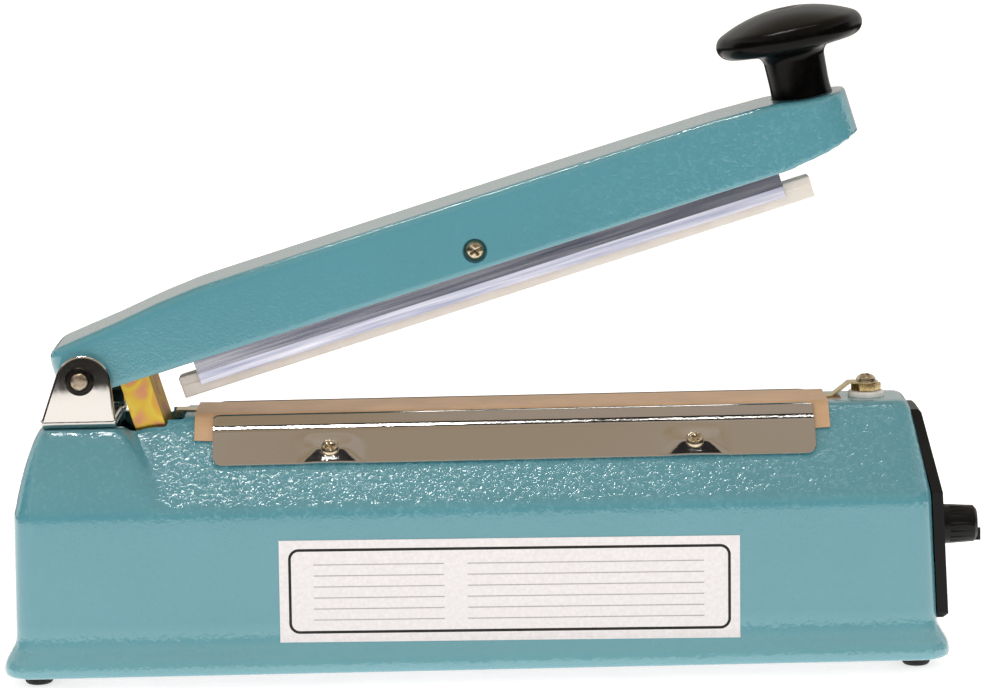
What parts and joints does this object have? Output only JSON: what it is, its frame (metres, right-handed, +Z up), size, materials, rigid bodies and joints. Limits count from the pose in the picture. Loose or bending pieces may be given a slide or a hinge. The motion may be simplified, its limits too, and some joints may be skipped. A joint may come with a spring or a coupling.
{
  "type": "hand impulse sealer",
  "caption": "Bench heat sealer: a cast base with a cloth-covered heated ridge, and a sprung arm with a mushroom knob that presses a silicone strip down on it to seal film bags.",
  "frame": {"origin": "middle of the object's box on the table, under the rubber feet", "axes": "+X along the sealing ridge towards the timer knob, +Y to the rear, +Z up"},
  "size_m": [0.32, 0.08, 0.2141],
  "materials": {
    "teal_paint": "hammered enamel on cast iron",
    "zinc_sheet": "zinc plated sheet",
    "black_rubber": "moulded rubber",
    "screw_steel": "nickel plated screws",
    "chrome_sheet": "chromed steel sheet",
    "pin_brass": "turned brass",
    "bed_fibre": "glass fibre board",
    "ribbon": "nickel chrome ribbon",
    "cloth": "coated glass cloth",
    "ceramic": "white ceramic",
    "black_plastic": "moulded black plastic",
    "knob_plastic": "polished black phenolic",
    "lamp_red": "red lens",
    "control_metal": "pressed can",
    "board": "circuit board",
    "components": "moulded components",
    "core_iron": "stacked iron",
    "coil_copper": "wound copper under tape",
    "switch_black": "moulded case",
    "spring_steel": "spring steel",
    "yellow_zinc": "yellow passivated zinc",
    "bar_aluminium": "extruded aluminium",
    "silicone": "translucent silicone"
  },
  "bodies": {
    "base": {"housing": "teal_paint", "bottom_plate": "zinc_sheet", "transformer_strap": "zinc_sheet", "switch_bracket": "zinc_sheet", "rubber_feet": "black_rubber", "cord_grommet": "black_rubber", "foot_screws": "screw_steel", "clamp_screws": "screw_steel", "terminal_screw": "screw_steel", "panel_screws": "screw_steel", "transformer_screws": "screw_steel", "switch_screws": "screw_steel", "bracket_rivets": "screw_steel", "timer_nut": "screw_steel", "spring_anchor": "screw_steel", "pivot_washers": "screw_steel", "board_posts": "screw_steel", "hinge_bracket": "chrome_sheet", "cloth_clamp_front": "chrome_sheet", "cloth_clamp_rear": "chrome_sheet", "pivot_pin": "pin_brass", "terminal_nut": "pin_brass", "element_bed": "bed_fibre", "heating_element": "ribbon", "release_cloth": "cloth", "terminal_bush": "ceramic", "control_panel": "black_plastic", "signal_lamp": "lamp_red", "timer_control": "control_metal", "circuit_board": "board", "board_components": "components", "transformer_core": "core_iron", "transformer_coil": "coil_copper", "micro_switch": "switch_black", "return_spring": "spring_steel"},
    "arm": {"arm": "teal_paint", "press_knob": "knob_plastic", "knob_screw": "screw_steel", "cross_screw": "screw_steel", "cross_nut": "screw_steel", "bar_spacers": "screw_steel", "trip_leg": "yellow_zinc", "leg_rivet": "screw_steel"},
    "bar": {"pressing_bar": "bar_aluminium", "silicone_strip": "silicone"},
    "lever": {"switch_lever": "spring_steel"},
    "timer": {"timer_shaft": "screw_steel", "timer_knob": "black_plastic"}
  },
  "joints": [
    {"name": "arm_hinge", "type": "hinge", "parent": "base", "child": "arm", "pos_m": [-0.1334, 0, 0.0989], "axis": [0, 1, 0], "range_deg": [0, 14.2], "stiffness_Nm_per_rad": 2.4, "springref_deg": -34.38, "deforming": ["return_spring"]},
    {"name": "bar_rock", "type": "hinge", "parent": "arm", "child": "bar", "pos_m": [-0.00484, 0, 0.1381], "axis": [0, 1, 0], "range_deg": [0, 2.6]},
    {"name": "switch_lever", "type": "hinge", "parent": "base", "child": "lever", "pos_m": [-0.1292, 0, 0.04], "axis": [0, 1, 0], "range_deg": [-19.7, 0]},
    {"name": "timer_turn", "type": "hinge", "parent": "base", "child": "timer", "pos_m": [0.15, 0, 0.0418], "axis": [1, 0, 0], "range_deg": [0, 300]}
  ],
  "couplings": [
    {"joint": "bar_rock", "follows": "arm_hinge", "ratio": 0.17606},
    {"joint": "switch_lever", "follows": "arm_hinge", "ratio": -1.3803}
  ]
}
